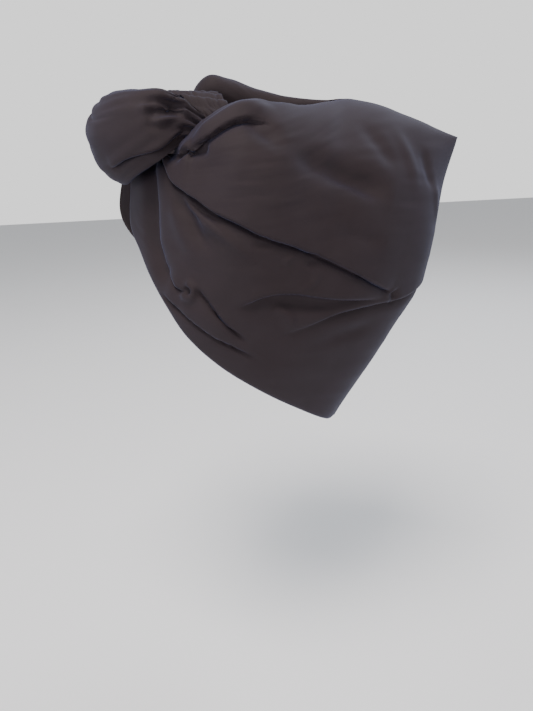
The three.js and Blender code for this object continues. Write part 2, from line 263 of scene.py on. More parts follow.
def cloth_piece(name: str, grid: ClothGrid, mirrored: bool = False) -> bpy.types.Object:
    """Makes a sheet of cloth from a grid of points.

    Args:
        name: the piece's name.
        grid: its points, in millimetres.
        mirrored: whether the piece lies on the other side of the middle plane.

    Returns:
        The piece, with its thickness as a live modifier.
    """
    nu, nv = grid.first.shape
    bm = bmesh.new()
    bmesh.ops.create_grid(bm, x_segments=nu - 1, y_segments=nv - 1, size=0.5, calc_uvs=True)
    points = grid.points * MM
    if mirrored:
        points = points * np.array([-1.0, 1.0, 1.0])
    wide = np.linalg.norm(np.diff(grid.points, axis=0), axis=-1).sum(0).mean() * MM
    tall = np.linalg.norm(np.diff(grid.points, axis=1), axis=-1).sum(1).mean() * MM
    for vert in bm.verts:
        i = round((vert.co.x + 0.5) * (nu - 1))
        j = round((vert.co.y + 0.5) * (nv - 1))
        vert.co = points[i, j]
    uv = bm.loops.layers.uv.verify()
    for face in bm.faces:
        face.smooth = True
        for loop in face.loops:
            loop[uv].uv = (loop[uv].uv[0] * wide, loop[uv].uv[1] * tall)
    if (grid.turn < 0) != mirrored:
        bmesh.ops.reverse_faces(bm, faces=bm.faces)
    mesh = bpy.data.meshes.new(name)
    bm.to_mesh(mesh)
    bm.free()
    piece = bpy.data.objects.new(name, mesh)
    bpy.context.scene.collection.objects.link(piece)
    wall = piece.modifiers.new("cloth thickness", "SOLIDIFY")
    wall.thickness = CLOTH * MM
    wall.offset = -1
    return piece


def declare(
    piece: bpy.types.Object, node: str
) -> None:
    """Hides the solid that a piece stands for and hangs the piece from the root body.

    Args:
        piece: the piece.
        node: the solid that it stands for.
    """
    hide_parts(node)
    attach(piece, "root")


# ---------------------------------------------------------------- finish


@dataclass(frozen=True)
class BlackCotton:
    """Plain-weave black cotton with a faint cool bloom where it turns away.

    Pitch is the distance from thread to thread in metres, and the weave and slub
    heights are in metres too. Weave shade is the share by which the base colour is
    darkened in the dips of the weave, a painted shade.
    """

    thread: tuple[float, float, float] = (0.0165, 0.0078, 0.0086)
    faded: tuple[float, float, float] = (0.0225, 0.0128, 0.0150)
    bloom: tuple[float, float, float] = (0.36, 0.46, 0.95)
    bloom_weight: float = 0.085
    bloom_roughness: float = 0.45
    roughness: float = 0.78
    specular: float = 0.3
    cloud_scale: float = 14
    weave_shade: float = 0.35
    weave_height: float = 0.00012
    slub_height: float = 0.00035
    slub_stretch: tuple[float, float] = (900, 160)
    pitch: float = 0.00042

    def material(self) -> bpy.types.Material:
        """The finish as a procedural material on the piece's own UV map."""
        cotton = bpy.data.materials.new("black_cotton")
        cotton.use_nodes = True
        nodes = cotton.node_tree.nodes
        links = cotton.node_tree.links
        shader = nodes["Principled BSDF"]
        shader.inputs["Roughness"].default_value = self.roughness
        shader.inputs["Specular IOR Level"].default_value = self.specular
        shader.inputs["Sheen Weight"].default_value = self.bloom_weight
        shader.inputs["Sheen Roughness"].default_value = self.bloom_roughness
        shader.inputs["Sheen Tint"].default_value = (*self.bloom, 1)
        place = nodes.new("ShaderNodeTexCoord")
        cloud = nodes.new("ShaderNodeTexNoise")
        cloud.inputs["Scale"].default_value = self.cloud_scale
        cloud.inputs["Detail"].default_value = 5
        cloud.inputs["Roughness"].default_value = 0.6
        links.new(place.outputs["Object"], cloud.inputs["Vector"])
        shade = nodes.new("ShaderNodeValToRGB")
        shade.color_ramp.elements[0].position = 0.32
        shade.color_ramp.elements[0].color = (*self.thread, 1)
        shade.color_ramp.elements[1].position = 0.72
        shade.color_ramp.elements[1].color = (*self.faded, 1)
        links.new(cloud.outputs["Fac"], shade.inputs["Fac"])
        weave = self.weave(cotton, place)
        # painted shade: the base colour is darkened in the dips of the weave, by the weave_shade share
        painted_weave_shade = nodes.new("ShaderNodeMix")
        painted_weave_shade.data_type = "RGBA"
        painted_weave_shade.blend_type = "MULTIPLY"
        painted_weave_shade.inputs["Factor"].default_value = self.weave_shade
        links.new(shade.outputs["Color"], painted_weave_shade.inputs["A"])
        links.new(weave, painted_weave_shade.inputs["B"])
        links.new(painted_weave_shade.outputs["Result"], shader.inputs["Base Color"])
        bump = nodes.new("ShaderNodeBump")
        bump.inputs["Strength"].default_value = 0.35
        bump.inputs["Distance"].default_value = self.weave_height
        links.new(weave, bump.inputs["Height"])
        grain = nodes.new("ShaderNodeBump")
        grain.inputs["Strength"].default_value = 0.55
        grain.inputs["Distance"].default_value = self.slub_height
        links.new(self.slubs(cotton, place), grain.inputs["Height"])
        links.new(bump.outputs["Normal"], grain.inputs["Normal"])
        links.new(grain.outputs["Normal"], shader.inputs["Normal"])
        return cotton

    def slubs(self, cotton: bpy.types.Material, place: bpy.types.Node) -> bpy.types.NodeSocket:
        """Uneven threads in both directions, as a height from 0 to 1.

        Args:
            cotton: the material that holds the nodes.
            place: its texture coordinates.

        Returns:
            The socket that carries the height.
        """
        nodes = cotton.node_tree.nodes
        links = cotton.node_tree.links
        fine, coarse = self.slub_stretch
        threads = []
        for stretch in ((fine, coarse, 1), (coarse, fine, 1)):
            across = nodes.new("ShaderNodeMapping")
            across.inputs["Scale"].default_value = stretch
            links.new(place.outputs["UV"], across.inputs["Vector"])
            noise = nodes.new("ShaderNodeTexNoise")
            noise.inputs["Scale"].default_value = 1
            noise.inputs["Detail"].default_value = 3
            links.new(across.outputs["Vector"], noise.inputs["Vector"])
            threads.append(noise.outputs["Fac"])
        both = nodes.new("ShaderNodeMath")
        both.operation = "ADD"
        links.new(threads[0], both.inputs[0])
        links.new(threads[1], both.inputs[1])
        return both.outputs[0]

    def weave(self, cotton: bpy.types.Material, place: bpy.types.Node) -> bpy.types.NodeSocket:
        """Over-and-under threads, as a height from 0 to 1.

        Args:
            cotton: the material that holds the nodes.
            place: its texture coordinates.

        Returns:
            The socket that carries the height.
        """
        nodes = cotton.node_tree.nodes
        links = cotton.node_tree.links
        threads = []
        for direction in ("X", "Y"):
            wave = nodes.new("ShaderNodeTexWave")
            wave.bands_direction = direction
            wave.inputs["Scale"].default_value = 0.314 / self.pitch
            wave.inputs["Distortion"].default_value = 0.6
            wave.inputs["Detail"].default_value = 2
            links.new(place.outputs["UV"], wave.inputs["Vector"])
            threads.append(wave.outputs["Fac"])
        cross = nodes.new("ShaderNodeMath")
        cross.operation = "MULTIPLY"
        links.new(threads[0], cross.inputs[0])
        links.new(threads[1], cross.inputs[1])
        lift = nodes.new("ShaderNodeMath")
        lift.operation = "MULTIPLY_ADD"
        lift.inputs[1].default_value = 0.6
        lift.inputs[2].default_value = 0.4
        links.new(cross.outputs[0], lift.inputs[0])
        return lift.outputs[0]


# ---------------------------------------------------------------- side panels


@dataclass(frozen=True)
class PanelRails:
    """The four edges of a side panel and how its top edge rolls in.

    Edges are tables of (share, x, y, z), and the roll is (share, radius, length).
    """

    hem: Curve
    mouth: Curve
    seam: Curve
    top: Curve
    roll: Curve


BACK_SEAM = Curve((
    (0.0, 0.2, 74, -238),
    (0.1, 0.2, 90, -211),
    (0.2, 0.2, 109, -181),
    (0.3, 0.2, 126.5, -152),
    (0.4, 0.2, 143, -127),
    (0.5, 0.2, 152.5, -105),
    (0.62, 0.2, 158.5, -79),
    (0.74, 0.2, 162.5, -54),
    (0.87, 0.2, 168.5, -28),
    (1.0, 0.2, 181, 5),
))
LEFT_RAILS = PanelRails(
    hem=Curve((
        (0.0, 3, -90, -17),
        (0.1, 9, -94, -50),
        (0.2, 23, -88.5, -69.5),
        (0.3, 40, -82, -88),
        (0.4, 56, -73, -106),
        (0.5, 68, -60, -128),
        (0.62, 75, -38, -151),
        (0.74, 74, -9, -174),
        (0.85, 63, 22, -197),
        (0.93, 44, 52, -219),
        (1.0, 0.2, 74, -238),
    )),
    mouth=Curve((
        (0.0, 3, -90, -17),
        (0.25, 20, -79, -13),
        (0.5, 37, -66, -6),
        (0.75, 50, -51, 3),
        (1.0, 50, -35, 19),
    )),
    seam=BACK_SEAM,
    top=Curve((
        (0.0, 50, -35, 19),
        (0.1, 50, -20, 27),
        (0.2, 49, -4, 31),
        (0.32, 42, 14, 30),
        (0.45, 28, 40, 28.5),
        (0.56, 11, 64, 33),
        (0.66, 0.2, 84, 36),
        (0.76, 0.2, 112, 30),
        (0.88, 0.2, 147, 17.5),
        (1.0, 0.2, 181, 5),
    )),
    roll=Curve((
        (0.0, 5, 10),
        (0.1, 8, 24),
        (0.2, 8, 29),
        (0.32, 8, 27),
        (0.45, 6, 22),
        (0.56, 4, 7),
        (0.62, 3, 0),
        (1.0, 3, 0),
    )),
)
RIGHT_RAILS = PanelRails(
    hem=Curve((
        (0.0, 3, -95, -10),
        (0.1, 10, -102, -40),
        (0.2, 23, -96.5, -61),
        (0.3, 41, -82, -81),
        (0.4, 57, -71, -103),
        (0.5, 68, -60, -127),
        (0.62, 75, -38, -151),
        (0.74, 74, -9, -174),
        (0.85, 63, 22, -197),
        (0.93, 44, 52, -219),
        (1.0, 0.2, 74, -238),
    )),
    mouth=Curve((
        (0.0, 3, -95, -10),
        (0.25, 20, -81, -10),
        (0.5, 38, -65, -4),
        (0.75, 50, -51, 7),
        (1.0, 49, -36, 24),
    )),
    seam=BACK_SEAM,
    top=Curve((
        (0.0, 49, -36, 24),
        (0.07, 43, -35, 47),
        (0.15, 37, -22, 59),
        (0.25, 37, -3, 56),
        (0.35, 35, 19, 48),
        (0.46, 25, 41, 41),
        (0.56, 11, 64, 37),
        (0.66, 0.2, 84, 36),
        (0.76, 0.2, 112, 30),
        (0.88, 0.2, 147, 17.5),
        (1.0, 0.2, 181, 5),
    )),
    roll=Curve((
        (0.0, 6, 12),
        (0.07, 10, 42),
        (0.15, 13, 58),
        (0.25, 14, 56),
        (0.35, 12, 49),
        (0.46, 8, 35),
        (0.56, 4, 8),
        (0.62, 3, 0),
        (1.0, 3, 0),
    )),
)
DENT, RIDGE, LAP = FoldKind.DENT, FoldKind.RIDGE, FoldKind.LAP
LEFT_FOLDS = (
    # soft valleys first, then the sharper folds that lie over them
    Fold(DENT, 10, 5.0, ((0.42, 0.80), (0.56, 0.735), (0.69, 0.70), (0.80, 0.68)), fade=(0.35, 0.3)),
    Fold(DENT, 6, 3.0, ((0.55, 0.73), (0.68, 0.70), (0.79, 0.685)), fade=(0.4, 0.4)),
    Fold(DENT, 8, 3.4, ((0.22, 0.875), (0.31, 0.865), (0.38, 0.82), (0.43, 0.78)), fade=(0.3, 0.5)),
    Fold(DENT, 7, 2.2, ((0.66, 0.53), (0.74, 0.51), (0.81, 0.52)), fade=(0.4, 0.4)),
    Fold(DENT, 9, 2.2, ((0.10, 0.60), (0.20, 0.63), (0.32, 0.62)), fade=(0.1, 0.6)),
    Fold(DENT, 8, 1.8, ((0.68, 0.92), (0.76, 0.83), (0.80, 0.76)), fade=(0.45, 0.45)),
    Fold(RIDGE, 7, 1.6, ((0.78, 0.94), (0.84, 0.84), (0.87, 0.72)), fade=(0.45, 0.45)),
    Fold(DENT, 6, 1.6, ((0.87, 0.92), (0.90, 0.83), (0.94, 0.79)), fade=(0.4, 0.4)),
    Fold(RIDGE, 6, 1.4, ((0.92, 0.84), (0.945, 0.74), (0.96, 0.66)), fade=(0.4, 0.45)),
    # the long crease from under the knot, with streaks that fan out below it
    Fold(LAP, 11, 3.6, ((-0.04, 0.53), (0.03, 0.49), (0.13, 0.443), (0.26, 0.417), (0.41, 0.421),
                        (0.60, 0.416), (0.75, 0.398), (0.87, 0.385)), over=2.0, slit=4.5, fade=(0.02, 0.06)),
    Fold(DENT, 4, 3.0, ((0.875, 0.392), (0.885, 0.375), (0.88, 0.355)), fade=(0.3, 0.6)),
    Fold(DENT, 3.5, 2.7, ((0.19, 0.405), (0.27, 0.393), (0.38, 0.385)), fade=(0.3, 0.5)),
    Fold(RIDGE, 3.4, 3.4, ((0.17, 0.405), (0.30, 0.37), (0.44, 0.345), (0.53, 0.33)), fade=(0.2, 0.5)),
    Fold(DENT, 5, 4.0, ((0.15, 0.385), (0.24, 0.345), (0.34, 0.30), (0.42, 0.28)), fade=(0.25, 0.5)),
    Fold(RIDGE, 6, 1.5, ((0.16, 0.33), (0.28, 0.26), (0.40, 0.22)), fade=(0.3, 0.4)),
    Fold(DENT, 3, 1.5, ((0.51, 0.415), (0.50, 0.395), (0.47, 0.37)), fade=(0.1, 0.6)),
    Fold(DENT, 3, 1.5, ((0.66, 0.41), (0.66, 0.385), (0.64, 0.365)), fade=(0.1, 0.6)),
    Fold(RIDGE, 2.2, 0.9, ((0.585, 0.35), (0.60, 0.385), (0.60, 0.40)), fade=(0.4, 0.4)),
    Fold(RIDGE, 2.2, 0.9, ((0.665, 0.29), (0.69, 0.33), (0.68, 0.375)), fade=(0.4, 0.4)),
    # the groove beside the front edge, ending in a small curled pucker
    Fold(DENT, 8, 5.4, ((0.0, 0.33), (0.10, 0.265), (0.20, 0.135), (0.29, 0.09), (0.38, 0.075)),
         fade=(0.02, 0.2)),
    Fold(LAP, 6, 3.4, ((-0.04, 0.41), (0.02, 0.368), (0.11, 0.298), (0.21, 0.165), (0.295, 0.113),
                       (0.375, 0.092), (0.42, 0.108)), over=2.6, fade=(0.02, 0.12)),
    Fold(RIDGE, 2.6, 3.3, ((0.392, 0.135), (0.425, 0.142), (0.438, 0.12), (0.42, 0.095), (0.40, 0.09)),
         fade=(0.2, 0.3)),
    Fold(DENT, 1.8, 2.4, ((0.405, 0.118), (0.42, 0.12), (0.425, 0.108)), fade=(0.2, 0.2)),
    # the leaf below the pucker
    Fold(LAP, 5, 1.5, ((0.43, 0.152), (0.49, 0.142), (0.556, 0.126), (0.645, 0.114)), over=1.0,
         fade=(0.15, 0.25)),
    Fold(RIDGE, 7, 2.0, ((0.42, 0.06), (0.50, 0.10), (0.60, 0.105)), fade=(0.3, 0.3)),
    Fold(LAP, 5, 1.7, ((0.36, 0.01), (0.40, 0.025), (0.475, 0.055), (0.558, 0.07), (0.632, 0.082),
                       (0.69, 0.085)), over=1.4, fade=(0.2, 0.25)),
    # low folds towards the back
    Fold(LAP, 12, 4.2, ((0.555, 0.18), (0.575, 0.21), (0.613, 0.251), (0.67, 0.278), (0.728, 0.292),
                        (0.80, 0.325), (0.88, 0.37)), over=0.6, slit=1.2, fade=(0.15, 0.4)),
    Fold(DENT, 6, 2.4, ((0.61, 0.235), (0.70, 0.265), (0.79, 0.30)), fade=(0.3, 0.4)),
    Fold(LAP, 9, 3.2, ((0.68, 0.15), (0.72, 0.195), (0.80, 0.285), (0.90, 0.37), (0.95, 0.43), (1.02, 0.50)),
         over=1.0, slit=2.0, fade=(0.35, 0.02)),
    Fold(RIDGE, 4, 2.0, ((0.64, 0.235), (0.69, 0.22), (0.71, 0.185)), fade=(0.3, 0.4)),
    Fold(DENT, 6, 1.5, ((0.77, 0.17), (0.84, 0.24), (0.90, 0.30)), fade=(0.4, 0.4)),
    # the near roll lies over the knot's end, with deep pockets under it
    Fold(DENT, 6, 4.0, ((-0.02, 0.60), (0.02, 0.64), (0.05, 0.66)), fade=(0.1, 0.4)),
    Fold(DENT, 5.0, 5.0, ((0.05, 0.69), (0.09, 0.71), (0.14, 0.74)), fade=(0.3, 0.35)),
    Fold(RIDGE, 7, 4.4, ((0.03, 0.80), (0.09, 0.86), (0.17, 0.93), (0.26, 0.955), (0.34, 0.96)),
         fade=(0.25, 0.4)),
    Fold(LAP, 8, 5.0, ((0.0, 0.67), (0.038, 0.716), (0.08, 0.761), (0.117, 0.807), (0.15, 0.847),
                       (0.189, 0.878), (0.246, 0.895), (0.297, 0.90), (0.36, 0.885)), over=1.8,
         slit=3.2, fade=(0.1, 0.35)),
)
RIGHT_FOLDS = (
    Fold(DENT, 12, 4.5, ((0.42, 0.82), (0.60, 0.72), (0.84, 0.66)), fade=(0.3, 0.3)),
    Fold(DENT, 6, 2.4, ((0.66, 0.88), (0.76, 0.80), (0.86, 0.78)), fade=(0.4, 0.4)),
    Fold(RIDGE, 5, 2.1, ((0.80, 0.93), (0.86, 0.84), (0.88, 0.74)), fade=(0.4, 0.4)),
    Fold(LAP, 11, 3.4, ((-0.04, 0.47), (0.05, 0.44), (0.20, 0.39), (0.40, 0.37), (0.62, 0.38), (0.80, 0.42)),
         over=2.8, fade=(0.02, 0.15)),
    Fold(RIDGE, 3.6, 2.4, ((0.15, 0.365), (0.28, 0.33), (0.42, 0.31)), fade=(0.25, 0.5)),
    Fold(DENT, 4.5, 2.7, ((0.14, 0.33), (0.26, 0.28), (0.38, 0.25)), fade=(0.25, 0.5)),
    Fold(DENT, 8, 4.8, ((0.0, 0.28), (0.10, 0.21), (0.20, 0.13), (0.32, 0.10)), fade=(0.02, 0.3)),
    Fold(LAP, 6, 3.0, ((-0.04, 0.36), (0.04, 0.31), (0.14, 0.22), (0.25, 0.14), (0.36, 0.12)), over=2.2,
         fade=(0.02, 0.25)),
    Fold(LAP, 8, 2.2, ((0.50, 0.16), (0.60, 0.22), (0.74, 0.25), (0.88, 0.31)), over=1.0, fade=(0.3, 0.3)),
    Fold(LAP, 7, 2.2, ((0.66, 0.10), (0.78, 0.21), (0.90, 0.33), (1.02, 0.44)), over=1.4, fade=(0.35, 0.02)),
    Fold(DENT, 5.0, 7.5, ((0.0, 0.62), (0.05, 0.68), (0.11, 0.70)), fade=(0.05, 0.35)),
    Fold(LAP, 7, 4.2, ((0.0, 0.68), (0.06, 0.74), (0.13, 0.79), (0.22, 0.82), (0.34, 0.82)), over=2.8,
         fade=(0.03, 0.4)),
)


@dataclass(frozen=True)
class Guide:
    """A row of the grid that is led along a crease, so that the crease comes out clean.

    Its table holds the share of the way round and the crease's height there.
    """

    row: float
    reach: float
    line: Curve

    def shift(self, r: Array, w: Array) -> Array:
        """How far the rows move.

        Args:
            r: shares of the way round.
            w: shares of the way up before the move.

        Returns:
            What is added to w.
        """
        near = np.clip(1 - ((w - self.row) / self.reach) ** 2, 0, 1) ** 2
        return near * (self.line.column(r, 0) - self.row)


LEFT_GUIDES = (
    Guide(0.42, 0.36, Curve(((0.0, 0.51), (0.13, 0.443), (0.26, 0.417), (0.41, 0.421), (0.60, 0.416),
                             (0.75, 0.398), (0.87, 0.385), (1.0, 0.40)))),
    Guide(0.83, 0.16, Curve(((0.0, 0.78), (0.117, 0.807), (0.15, 0.847), (0.189, 0.878), (0.246, 0.895),
                             (0.297, 0.90), (0.36, 0.885), (0.5, 0.84), (1.0, 0.83)))),
)
RIGHT_GUIDES = (
    Guide(0.40, 0.36, Curve(((0.0, 0.45), (0.05, 0.44), (0.20, 0.39), (0.40, 0.37), (0.62, 0.38),
                             (0.80, 0.42), (1.0, 0.42)))),
)


@dataclass
class SidePanel:
    """The cloth on one side of the head, from the knot to the middle of the back.

    The first coordinate runs from the knot (0) to the back seam (1), and the second
    from the hem (0) to the top edge (1) and on over the rolled edge. Rows crowd towards
    the seam and the top edge by the two crowding shares. The gathered end is drawn on
    into the knot by tuck millimetres, towards the point pull.
    """

    name: str
    node: str
    rails: PanelRails
    folds: tuple[Fold, ...]
    guides: tuple[Guide, ...]
    rumples: tuple[Rumple, ...]
    flat: tuple[float, float]
    rests_on: tuple[str, ...] = ("knot_over_loop",)
    mirrored: bool = False
    bulge: float = 48
    span: tuple[float, float] = (210, 175)
    turn: float = 1.75
    crowding: tuple[float, float] = (0.45, 0.4)
    tuck: float = 14
    tuck_rows: int = 8
    pull: tuple[float, float, float] = (0, -66, 4)
    across: int = 222
    up: int = 205
    piece: bpy.types.Object | None = field(default=None, init=False)

    def patch(self, r: Array, a: Array) -> Array:
        """Smooth patch between the four edges, bulged outwards.

        Args:
            r: shares of the way round, 0 to 1.
            a: shares of the way up, 0 to 1.

        Returns:
            Points in millimetres.
        """
        rails = self.rails
        r1, a1 = r[..., None], a[..., None]
        corners = [rails.hem(np.array(0.0)), rails.hem(np.array(1.0))]
        corners += [rails.top(np.array(0.0)), rails.top(np.array(1.0))]
        points = (1 - a1) * rails.hem(r) + a1 * rails.top(r)
        points = points + (1 - r1) * rails.mouth(a) + r1 * rails.seam(a)
        points = points - (1 - a1) * ((1 - r1) * corners[0] + r1 * corners[1])
        points = points - a1 * ((1 - r1) * corners[2] + r1 * corners[3])
        swell = self.bulge * hump(a, 0.85, 0.5) * hump(r, 0.75, 0.45)
        return points + swell[..., None] * np.array([1.0, 0.0, 0.0])

    def surface(self, r: Array, a: Array) -> Array:
        """The patch, carried on over the rolled top edge where a is over 1."""
        r, a = np.broadcast_arrays(np.asarray(r, float), np.asarray(a, float))
        points = self.patch(r, np.minimum(a, 1))
        radius = self.rails.roll.column(r, 0)
        along = np.maximum(a - 1, 0) * self.span[1]
        turned = np.minimum(along / radius, self.turn)
        rest = along - turned * radius
        points[..., 0] -= radius * np.sin(turned) + rest * np.cos(turned)
        points[..., 2] -= radius * (1 - np.cos(turned)) + rest * np.sin(turned)
        return points

    def grid(self) -> ClothGrid:
        """All points of the panel, with its folds and its tuck under the knot."""
        u = np.linspace(0, 1, self.across + 1)
        v = np.linspace(0, 1, self.up + 1)
        r = (u + self.crowding[0] * u * (1 - u))[:, None] * np.ones_like(v)
        length = np.maximum(self.rails.roll.column(r, 1), 0)
        share = self.span[1] / (self.span[1] + length)
        w = np.minimum(v / share, 1)
        w = w + self.crowding[1] * w * (1 - w)
        for guide in self.guides:
            w = w + guide.shift(r, w)
        a = np.where(v <= share, w, 1 + (v / share - 1))
        grid = ClothGrid(self.surface(r, a), r, a, self.span)
        for fold in self.folds:
            grid.crease(fold, self.surface)
        calm = smooth(0, 0.3, r) * smooth(0, 0.06, 1 - r) * smooth(0, 0.05, a)
        for rumple in self.rumples:
            grid.lift(rumple(r * self.span[0], a * self.span[1]) * calm)
        self.draw_in(grid, v)
        x = np.maximum(grid.points[..., 0], MIDDLE_GAP)
        grid.points[..., 0] = x - SEAM_LAP * np.exp(-((x / SEAM_WIDTH) ** 2))
        return grid

    def draw_in(self, grid: ClothGrid, v: Array) -> None:
        """Adds the rows that run on from the gathered end into the knot.

        Args:
            grid: the panel's points, which gain the rows.
            v: shares of the way up, one for each column.
        """
        rows = self.tuck_rows
        pull = unit(np.array(self.pull, float) - grid.points[0])
        reach = self.tuck * (1 - 0.3 * smooth(0.32, 0.5, v)) * (1 - 0.6 * smooth(0.75, 1, v))
        steps = np.linspace(1, 1 / rows, rows)
        tucked = grid.points[0] + steps[:, None, None] * (pull * reach[:, None])
        grid.points = np.concatenate([tucked, grid.points])
        grid.first = np.concatenate([np.zeros((rows, len(v))), grid.first])
        grid.second = np.concatenate([np.repeat(grid.second[:1], rows, axis=0), grid.second])

    def build(self, cotton: bpy.types.Material) -> None:
        """Makes the panel and dresses it."""
        self.piece = cloth_piece(self.name, self.grid(), self.mirrored)
        self.piece.data.materials.append(cotton)
        declare(self.piece, self.node)


# ---------------------------------------------------------------- the knot


@dataclass
class KnotLoop:
    """A loop of the knot: an open sleeve of cloth swept round the front.

    Its table holds the share of the way along, the middle of the section (x, y, z), its
    half sizes outwards and upwards, and the angles from and to in degrees.
    """

    name: str
    node: str
    sections: Curve
    folds: tuple[Fold, ...]
    pleats: int
    pleat_depth: float
    rumple: Rumple
    flat: tuple[float, float]
    rests_on: tuple[str, ...] = ("left_panel", "right_panel")
    fullness: float = 0.92
    axis: tuple[float, float] = (0, -40)
    span: tuple[float, float] = (170, 110)
    turn: float = -1.0
    across: int = 200
    around: int = 150
    piece: bpy.types.Object | None = field(default=None, init=False)

    def surface(self, u: Array, v: Array) -> Array:
        """The loop without its folds.

        Args:
            u: shares of the way along.
            v: shares of the way round the section.

        Returns:
            Points in millimetres.
        """
        u, v = np.broadcast_arrays(np.asarray(u, float), np.asarray(v, float))
        row = self.sections(u)
        middle = row[..., :3]
        out = middle - np.array([self.axis[0], self.axis[1], 0.0])
        out = unit(out * np.array([1.0, 1.0, 0.0]))
        angle = np.radians(row[..., 5] + (row[..., 6] - row[..., 5]) * v)
        gather = smooth(0, 1, (0.34 - np.minimum(u, 1 - u)) / 0.29)
        pleat = self.pleat_depth * gather * np.cos(2 * math.pi * self.pleats * v)
        flat = (row[..., 3] + pleat) * self.full(np.cos(angle))
        rise = (row[..., 4] + pleat) * self.full(np.sin(angle))
        points = middle + out * flat[..., None]
        return points + rise[..., None] * np.array([0.0, 0.0, 1.0])

    def full(self, t: Array) -> Array:
        """Makes a section squarer than an ellipse."""
        return np.sign(t) * np.abs(t) ** self.fullness

    def build(self, cotton: bpy.types.Material) -> None:
        """Makes the loop and dresses it."""
        u = np.linspace(0, 1, self.across + 1)[:, None]
        v = np.linspace(0, 1, self.around + 1)[None, :]
        u, v = np.broadcast_arrays(u, v)
        grid = ClothGrid(self.surface(u, v), u, v, self.span, self.turn)
        for fold in self.folds:
            grid.crease(fold, self.surface)
        grid.lift(self.rumple(u * self.span[0], v * self.span[1]))
        self.piece = cloth_piece(self.name, grid)
        self.piece.data.materials.append(cotton)
        declare(self.piece, self.node)


OVER_SECTIONS = Curve((
    (0.0, 38, -34, 15, 4, 8, -90, 150),
    (0.12, 39, -47, 18, 6.5, 14, -60, 150),
    (0.24, 43, -62, 15.5, 12, 23, -62, 150),
    (0.36, 29, -77, 12, 22, 29, -70, 150),
    (0.45, 10, -86, 10, 29, 33, -70, 150),
    (0.54, -7, -86, 16, 30, 27, -28, 150),
    (0.68, -28, -76, 25, 22, 19, -28, 150),
    (0.85, -38, -57, 27, 9, 12, -60, 150),
    (1.0, -37, -40, 22, 4, 6, -90, 150),
))
UNDER_SECTIONS = Curve((
    (0.0, -36, -42, 5, 4, 5, -60, 80),
    (0.1, -37, -50, 5, 5, 7, -10, 80),
    (0.19, -40, -59, 4, 8, 9, 10, 80),
    (0.3, -41, -68, 1, 12, 12, -22, 75),
    (0.5, -29, -82, -5, 18, 15, -50, 65),
    (0.75, -12, -91, -7, 20, 14, -50, 50),
    (0.9, -3, -90, -9, 14, 10, -50, 50),
    (1.0, 3, -88, -9, 8, 7, -60, 50),
))
OVER_FOLDS = (
    Fold(DENT, 5.5, 5.5, ((0.10, 0.45), (0.15, 0.42), (0.21, 0.405), (0.28, 0.405)), fade=(0.3, 0.25)),
    Fold(RIDGE, 3, 1.7, ((0.11, 0.35), (0.168, 0.335), (0.208, 0.325), (0.26, 0.325)), fade=(0.3, 0.3)),
    Fold(DENT, 3.8, 2.2, ((0.13, 0.27), (0.208, 0.272), (0.29, 0.32)), fade=(0.3, 0.4)),
    Fold(RIDGE, 3.4, 1.9, ((0.09, 0.47), (0.15, 0.465), (0.21, 0.455), (0.27, 0.44), (0.31, 0.42)),
         fade=(0.3, 0.3)),
    Fold(DENT, 4, 1.8, ((0.12, 0.56), (0.19, 0.51), (0.26, 0.475), (0.33, 0.45)), fade=(0.4, 0.4)),
    Fold(RIDGE, 2.6, 1.6, ((0.07, 0.60), (0.14, 0.61), (0.21, 0.60), (0.27, 0.575)), fade=(0.3, 0.4)),
    Fold(DENT, 2.4, 1.6, ((0.56, 0.42), (0.48, 0.42), (0.43, 0.418), (0.38, 0.42), (0.33, 0.415)),
         fade=(0.4, 0.4)),
    Fold(RIDGE, 7, 1.8, ((0.52, 0.36), (0.44, 0.36), (0.37, 0.365)), fade=(0.4, 0.4)),
    Fold(LAP, 8, 3.8, ((0.10, 0.23), (0.14, 0.17), (0.20, 0.115), (0.24, 0.11), (0.275, 0.132), (0.32, 0.153),
                       (0.366, 0.163), (0.405, 0.158)), over=1.4, slit=2.6, fade=(0.25, 0.12)),
    Fold(DENT, 6, 2.4, ((0.52, 0.62), (0.66, 0.55), (0.82, 0.52)), fade=(0.3, 0.3)),
    Fold(LAP, 6, 2.4, ((0.60, 0.22), (0.72, 0.30), (0.84, 0.34)), over=1.0, slit=2.0, fade=(0.3, 0.4)),
    Fold(DENT, 4, 1.8, ((0.70, 0.44), (0.80, 0.44), (0.88, 0.46)), fade=(0.4, 0.4)),
)
UNDER_FOLDS = (
    Fold(DENT, 4, 1.6, ((0.2, 0.6), (0.45, 0.5), (0.7, 0.52)), fade=(0.3, 0.3)),
    Fold(RIDGE, 3, 1.0, ((0.4, 0.35), (0.6, 0.38), (0.85, 0.42)), fade=(0.3, 0.3)),
)


# ---------------------------------------------------------------- crown and tucked end


